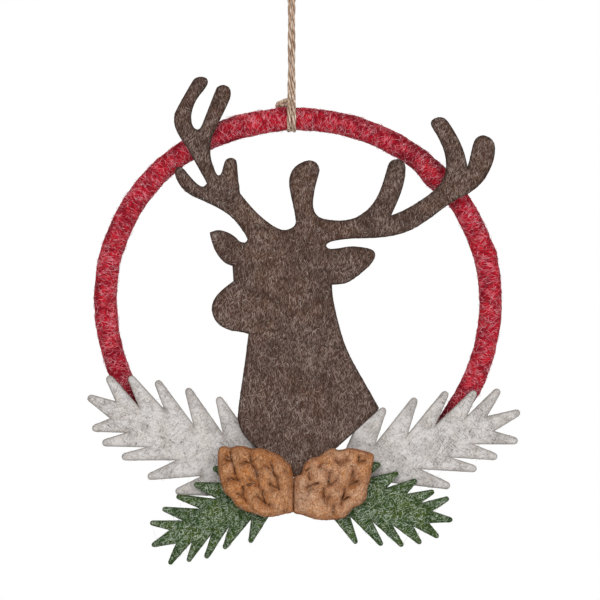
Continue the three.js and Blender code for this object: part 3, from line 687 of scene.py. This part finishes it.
# Pine cones: needled wool, crowned, with the scales pressed in as short lines. Lines are in mm
# from the hoop's centre.
coneLook = {
    "slot": "cone_felt", "voxel": 0.23, "smooth": 14, "swell": 0.12, "depth": 0.8, "width": 0.4,
    "puff": 1.4, "puffWidth": 2.4, "shade": 0.35, "halo": 1.8, "haloShare": 0.58, "flank": 0.9,
    "fray": 0.3, "frontSpread": 1.6, "lump": 0.35, "lumpSize": 6, "nub": 0.1, "nubSize": 1.8,
    "wrinkleSize": 3.4, "wrinkleWidth": 0.1, "wrinkleDepth": 0.22, "wrinkleShade": 0.5,
    "wrinkleStretch": 1.5, "lineStep": 0.25,
    # how the flanks meet: line, rows, reach into the cone, widest gap, its fade, lap, heights
    "meet": -1.4, "meetRow": 0.5, "meetReach": 3, "meetGap": 2.4, "meetSoft": 0.8, "meetLap": 0.03,
    "meetFade": (-68, -65),
    # where the outline is fuller and where the wool is paler: place, reach, and height or share
    "fullAt": ((-7.4, -61.6, 3.2, 1.3), (-3, -63.9, 2.2, 1)),
    "fadedAt": ((-8, -80, 5, 0.25), (-27.5, -65, 3, 0.25)), "fadedDrift": 1.5,
    "base": "#d2996d", "warm": "#d2894d", "dark": "#a96b3f", "pit": "#84502a", "pale": "#e0b48e",
    # the edge colour is painted shade in the pressed lines and wrinkles, and the redder one after
    # it painted shade beside them and on the cone's sides
    "edge": "#3c200f", "paintedShade": "#82471f", "fade": "#c9a78e", "patch": 7, "cloud": 4, "curl": 0.8,
    "fibreLength": 3, "fibreWidth": 0.35, "turns": (28, 75, 100, 150), "darkShare": 0.6,
    "paleFrom": 0.61, "paleShare": 0.72, "even": 0.6, "pitTo": 0.4, "pitShare": 0.7,
    "edgeShare": 0.9, "bump": 0.22, "sheen": 0.02,
    "hair": "#a97853", "hairPale": "#d6b497", "hairs": 620, "hairLength": (1.0, 2.8),
    "hairWidth": 0.16, "hairCurl": 0.5, "standing": 0.2, "standOff": (0.15, 0.6),
    "lieOff": (0.02, 0.12), "seed": 51,
}
leftLines = [
    [(-26.3, -56.4), (-26.2, -58.3), (-25.8, -62.6), (-24.8, -64.8), (-24.6, -68.3), (-23.3, -70)],
    [(-29, -61.6), (-27.2, -61.8), (-25.8, -61.6)], [(-28.3, -59.6), (-28.1, -60)],
    [(-28.8, -69.4), (-26.8, -68.8), (-24, -69.7)],
    [(-18.1, -56.2), (-18.3, -57.7), (-18.2, -60.6), (-17.7, -63.4), (-16.2, -66), (-15.7, -69.4),
     (-15, -72.3)],
    [(-22.6, -63.2), (-20.3, -62.3), (-18.6, -62.9)], [(-18.3, -69.3), (-16.6, -70.8)],
    [(-19.7, -71.7), (-16.6, -71.2)],
    [(-10.3, -61.7), (-9.6, -64), (-8.6, -66.8), (-7.8, -68.3), (-7.7, -71.2), (-7.2, -73.2)],
    [(-12.6, -63.4), (-10.2, -64.7)], [(-10.6, -71.2), (-8.6, -72.3), (-7.4, -72.8)],
    [(-13.6, -73.4), (-13.3, -76.3), (-12.4, -79.2)],
    [(-15.7, -76.6), (-13.4, -78.3), (-12.6, -78.8)],
    [(-21.7, -72.6), (-21.4, -75.2), (-20.3, -78.3)], [(-24, -75.2), (-21.2, -76.8)],
    [(-4.6, -65.4), (-2.8, -66.6)], [(-11.1, -79.8), (-10.9, -80.2)],
]
rightLines = [
    [(2.9, -65.4), (4.2, -64.3)], [(4.2, -66.6), (5, -68.8)],
    [(3.8, -72.8), (5.5, -71.7), (8, -70.6)], [(8.4, -64), (10, -62.6)],
    [(12.8, -66.6), (12.8, -68.8), (13, -71.7)], [(13.2, -71.4), (15.5, -69.7)],
    [(10.4, -72.8), (10.5, -75.7), (10.9, -78)], [(10.9, -77.7), (12.9, -76.3)],
    [(22.4, -65.4), (22, -68.8), (20.9, -71.7)], [(20.9, -71.4), (23.8, -70.3)],
    [(18.8, -72.8), (18.4, -75.7), (17.6, -79.4)], [(17.8, -78.6), (20.9, -76.6)],
    [(15, -79.7), (14.6, -84)], [(15.5, -61.4), (17.2, -62.8), (19.2, -61.2)],
    [(24.9, -59.2), (24.6, -62.3)], [(24.4, -62.3), (27.5, -61.7)],
]


# The two cones are squeezed together: each one's flank is drawn out to the line where they meet
def closeUp(bm, look):
    line = hoopCentre.x / mm + look["meet"]
    side = 1 if sum(v.co.x for v in bm.verts) / len(bm.verts) / mm < line else -1
    height = look["meetRow"] * mm
    nowhere = -1000
    flank = {}
    for v in bm.verts:
        row = round(v.co.z / height)
        flank[row] = max(flank.get(row, nowhere), side * v.co.x / mm)
    for v in bm.verts:
        row = v.co.z / height
        low = math.floor(row)
        edge = (flank.get(low, nowhere) * (low + 1 - row)
                + flank.get(low + 1, nowhere) * (row - low))
        gap = side * line - edge + look["meetLap"]
        inside = max(0, 1 - (edge - side * v.co.x / mm) / look["meetReach"])
        inside *= fadeOut((v.co.z - hoopCentre.z) / mm, *look["meetFade"])
        drawn = min(1, max(0, (look["meetGap"] - gap) / look["meetSoft"]))
        v.co.x += side * gap * drawn * inside ** 2 * mm


def flatGap(spot, x, z):
    return math.hypot(spot.x - hoopCentre.x - x * mm, spot.z - hoopCentre.z - z * mm) / mm


def makeCone(name, node, look, lines):
    block = bpy.data.objects.new(name + "Block", meshFrom(nodeCopy(node), name))
    scene.collection.objects.link(block)
    remesh = block.modifiers.new("remesh", "REMESH")
    remesh.mode = "VOXEL"
    remesh.voxel_size = look["voxel"] * mm
    bm = bmesh.new()
    bm.from_mesh(settled(block))
    for turn in range(look["smooth"]):
        bmesh.ops.smooth_vert(bm, verts=bm.verts, factor=0.5, use_axis_x=True, use_axis_y=True,
                              use_axis_z=True)
    pressedAndShaded = []
    for line in lines:
        for a, b in zip(line, line[1:]):
            steps = max(2, int(math.dist(a, b) / look["lineStep"]))
            pressedAndShaded += [(a[0] + (b[0] - a[0]) * i / steps, 0, a[1] + (b[1] - a[1]) * i / steps)
                        for i in range(steps + 1)]
    tree = pointTree([Vector(spot) * mm + hoopCentre for spot in pressedAndShaded])
    bm.normal_update()
    rimLayer = bm.verts.layers.float.new("rim")
    paintedShadeLayer = bm.verts.layers.float.new("paintedShade")
    fadedLayer = bm.verts.layers.float.new("faded")
    for v in bm.verts:
        gap = tree.find((v.co.x, 0, v.co.z))[2] / mm
        gap += look["fray"] * noiseAt(v.co, 1.3, 4)
        facing = max(0, -v.normal.y)
        lump = (noiseAt(v.co, look["lumpSize"], look["seed"]) * look["lump"]
                + noiseAt(v.co, look["nubSize"], 8) * look["nub"])
        puff = -math.exp(-(gap / look["puffWidth"]) ** 2) * look["puff"]
        groove = math.exp(-(gap / look["width"]) ** 2) * look["depth"]
        darkened = min(1, max(0.3, 0.8 + 0.9 * noiseAt(v.co, 2.5, 6)))
        front = min(1, look["frontSpread"] * facing)
        # the wrinkles run more up than across, and come and go
        tall = Vector((v.co.x * look["wrinkleStretch"], v.co.y, v.co.z))
        wrinkle = noiseAt(tall, look["wrinkleSize"], look["seed"] + 20) / look["wrinkleWidth"]
        wrinkle = math.exp(-wrinkle ** 2) * min(1, max(0, 0.3 + 2 * noiseAt(v.co, 4, 12))) * front
        # painted shade in the pressed lines and the wrinkles, broken up at random
        v[rimLayer] = max(math.exp(-(max(gap, 0) / look["shade"]) ** 2) * front * darkened,
                          wrinkle * look["wrinkleShade"])
        # painted shade beside the lines, and with flank on the sides that turn away from the front
        v[paintedShadeLayer] = max(math.exp(-(gap / look["halo"]) ** 2) * look["haloShare"] * facing,
                             look["flank"] * (1 - facing))
        for x, z, reach, share in look["fadedAt"]:
            away = flatGap(v.co, x, z) + look["fadedDrift"] * noiseAt(v.co, 3, 7)
            v[fadedLayer] = max(v[fadedLayer], math.exp(-(away / reach) ** 2) * share * facing)
        swell = look["swell"] + lump * (0.3 + 0.7 * facing) + puff * facing - groove * front
        swell -= wrinkle * look["wrinkleDepth"]
        for x, z, reach, height in look["fullAt"]:
            near = math.exp(-(flatGap(v.co, x, z) / reach) ** 2)
            swell += height * near * (1 - facing * 0.7)
        v.co += v.normal * swell * mm
    closeUp(bm, look)
    return meshFrom(bm, name)


# The right one is less orange
paleCone = dict(coneLook, base="#d8a580", warm="#d49361", pale="#e4c0a2", seed=57,
                fadedAt=((3.2, -75, 6, 0.6), (7.5, -67, 3, 0.35), (12, -58, 3, 0.3)), fullAt=())
coneWool = woolFinish("looseWoolCone", coneLook)
for side, look, lines in (("Left", coneLook, leftLines), ("Right", paleCone, rightLines)):
    node = "pine_cone_" + side.lower()
    coneFelt = feltFinish("needledWoolBrown" + side, look)
    cone = newObject("pineCone" + side, makeCone("pineCone" + side, node, look, lines), coneFelt)
    coneHairs = strewHairs("pineCone" + side + "Hairs", cone, look, coneWool)
    for piece in (cone, coneHairs):
        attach(piece, "ornament")
    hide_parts(node)
    print("cone", side, len(cone.data.polygons), "faces")


# Hot-melt glue: pale and cloudy, smooth where it set
glueLook = {"base": "#e4ddcc", "cloud": "#f1ecdf", "cloudSize": 2.5, "wobble": 0.12}


def glueFinish(look):
    material, tree = emptyMaterial("hotMeltGlue")
    place = addNode(tree, "ShaderNodeTexCoord").outputs["Object"]
    cloud = addNode(tree, "ShaderNodeTexNoise",
                    {"Vector": place, "Scale": 1 / (look["cloudSize"] * mm), "Detail": 2})
    colour = addNode(tree, "ShaderNodeMix",
                     {0: cloud.outputs[0], 6: linear(look["base"]), 7: linear(look["cloud"])},
                     data_type="RGBA")
    bump = addNode(tree, "ShaderNodeBump",
                   {"Height": cloud.outputs[0], "Strength": 0.3, "Distance": 0.3 * mm})
    glue = addNode(tree, "ShaderNodeBsdfPrincipled",
                   {"Base Color": colour.outputs[2], "Roughness": 0.32, "IOR": 1.49,
                    "Subsurface Weight": 0.4, "Subsurface Scale": 1 * mm,
                    "Normal": bump.outputs[0]})
    addNode(tree, "ShaderNodeOutputMaterial", {0: glue.outputs[0]})
    return material


hotMelt = glueFinish(glueLook)
for node in [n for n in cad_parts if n.startswith("glue_")]:
    bm = nodeCopy(node)
    bmesh.ops.dissolve_limit(bm, angle_limit=math.radians(0.5), verts=bm.verts, edges=bm.edges)
    low, high = (Vector(corner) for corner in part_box(node))
    middle = (low + high) / 2
    for v in bm.verts:  # a squeezed bead is never quite round
        out = Vector((v.co.x - middle.x, 0, v.co.z - middle.z))
        spread = noise.noise(out.normalized() * 1.6 + middle / (9 * mm))
        v.co -= out * (glueLook["wobble"] + glueLook["wobble"] * spread)
    bmesh.ops.triangulate(bm, faces=[f for f in bm.faces if len(f.verts) > 4])
    bead = newObject(node.replace("glue", "glueBead"), meshFrom(bm, node), hotMelt)
    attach(bead, "ornament")
    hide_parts(node)
print("glue beads set")


# Hoop wire: bright drawn steel, faintly mottled
wireLook = {"base": "#8f9194", "dark": "#6d6f73", "grain": 0.4}
wireSteel, tree = emptyMaterial("drawnSteelWire")
place = addNode(tree, "ShaderNodeTexCoord").outputs["Object"]
lines = addNode(tree, "ShaderNodeTexNoise",
                {"Vector": place, "Scale": 1 / (wireLook["grain"] * mm), "Detail": 3})
colour = addNode(tree, "ShaderNodeMix",
                 {0: lines.outputs[0], 6: linear(wireLook["dark"]), 7: linear(wireLook["base"])},
                 data_type="RGBA")
steel = addNode(tree, "ShaderNodeBsdfPrincipled",
                {"Base Color": colour.outputs[2], "Metallic": 1, "Roughness": 0.38})
addNode(tree, "ShaderNodeOutputMaterial", {0: steel.outputs[0]})
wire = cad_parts["hoop_core"]
wire.data.materials.clear()
wire.data.materials.append(wireSteel)
print("wire finished")


# Stage: a pale floor under the ornament, white all round, and soft light from front and back
stageLook = {"floor": "#f1f0ee", "drop": -0.33, "radius": 0.7, "sky": 0.36,
             "lit": (0, 0, -0.135)}
bm = bmesh.new()
bmesh.ops.create_circle(bm, cap_ends=True, segments=96, radius=stageLook["radius"])
bmesh.ops.translate(bm, verts=bm.verts, vec=(0, 0, stageLook["drop"]))
floorPaint, tree = emptyMaterial("mattFloor")
place = addNode(tree, "ShaderNodeTexCoord").outputs["Object"]
cast = addNode(tree, "ShaderNodeTexNoise", {"Vector": place, "Scale": 1 / (40 * mm)})
bump = addNode(tree, "ShaderNodeBump",
               {"Height": cast.outputs[0], "Strength": 0.05, "Distance": 0.2 * mm})
paint = addNode(tree, "ShaderNodeBsdfPrincipled",
                {"Base Color": linear(stageLook["floor"]), "Roughness": 0.8,
                 "Normal": bump.outputs[0]})
addNode(tree, "ShaderNodeOutputMaterial", {0: paint.outputs[0]})
floor = newObject("floor", meshFrom(bm, "floor"), floorPaint)

world = bpy.data.worlds.new("studio")
scene.world = world
world.use_nodes = True
tree = world.node_tree
tree.nodes.clear()
rays = addNode(tree, "ShaderNodeLightPath")
seen = addNode(tree, "ShaderNodeMath",
               {0: rays.outputs["Is Camera Ray"], 1: rays.outputs["Is Glossy Ray"]},
               operation="MAXIMUM")
seen = addNode(tree, "ShaderNodeMath",
               {0: seen.outputs[0], 1: rays.outputs["Is Transmission Ray"]},
               operation="MAXIMUM")
level = addNode(tree, "ShaderNodeMapRange", {0: seen.outputs[0], 3: stageLook["sky"], 4: 1})
sky = addNode(tree, "ShaderNodeBackground", {"Color": (1, 1, 1, 1), "Strength": level.outputs[0]})
addNode(tree, "ShaderNodeOutputWorld", {0: sky.outputs[0]})

lampLook = {  # place, size and power
    "keyLamp": ((-0.35, -1.35, 0.45), 0.75, 9.5),
    "fillLamp": ((0.9, -1.2, 0.1), 0.9, 6.6),
    "backLamp": ((0.1, 1.2, 0.5), 0.9, 5),
}
for name, (spot, size, power) in lampLook.items():
    lampData = bpy.data.lights.new(name, "AREA")
    lampData.shape = "SQUARE"
    lampData.size = size
    lampData.energy = power
    lamp = bpy.data.objects.new(name, lampData)
    lamp.location = spot
    aim = Vector(spot) - Vector(stageLook["lit"])
    lamp.rotation_euler = aim.to_track_quat("Z", "Y").to_euler()
    scene.collection.objects.link(lamp)
print("stage and lamps set")
